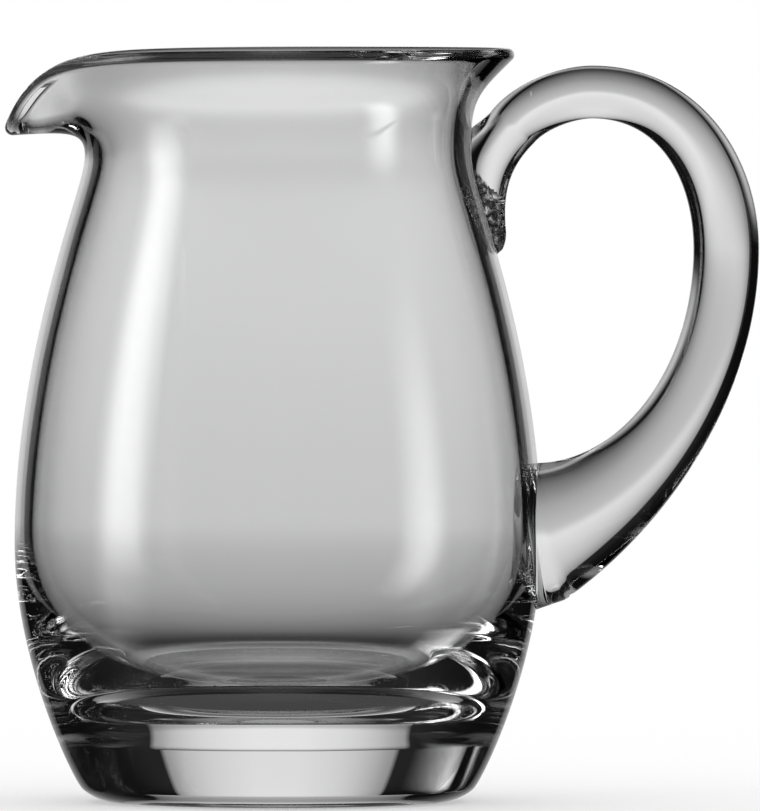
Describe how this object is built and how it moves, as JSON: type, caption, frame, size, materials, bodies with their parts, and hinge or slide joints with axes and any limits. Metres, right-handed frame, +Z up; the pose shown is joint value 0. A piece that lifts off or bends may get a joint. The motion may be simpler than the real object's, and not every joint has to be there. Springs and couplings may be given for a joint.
{
  "type": "beer pitcher",
  "caption": "Clear glass beer pitcher: round-bellied body with a heavy solid base, flared rim drawn into a pouring lip, and a solid glass loop handle sealed to its side.",
  "frame": {"origin": "middle of the flat base, on the axis of the body, at the height of the table", "axes": "+Z up along the axis of the body, +X towards the handle, -X towards the pouring lip"},
  "size_m": [0.1722, 0.1204, 0.172],
  "materials": {
    "body_glass": "clear blown glass, fire polished, smooth and colourless",
    "handle_glass": "clear solid drawn glass, fire polished, with soft tool marks at its seals"
  },
  "bodies": {
    "root": {"vessel": "body_glass", "handle": "handle_glass"}
  },
  "joints": []
}
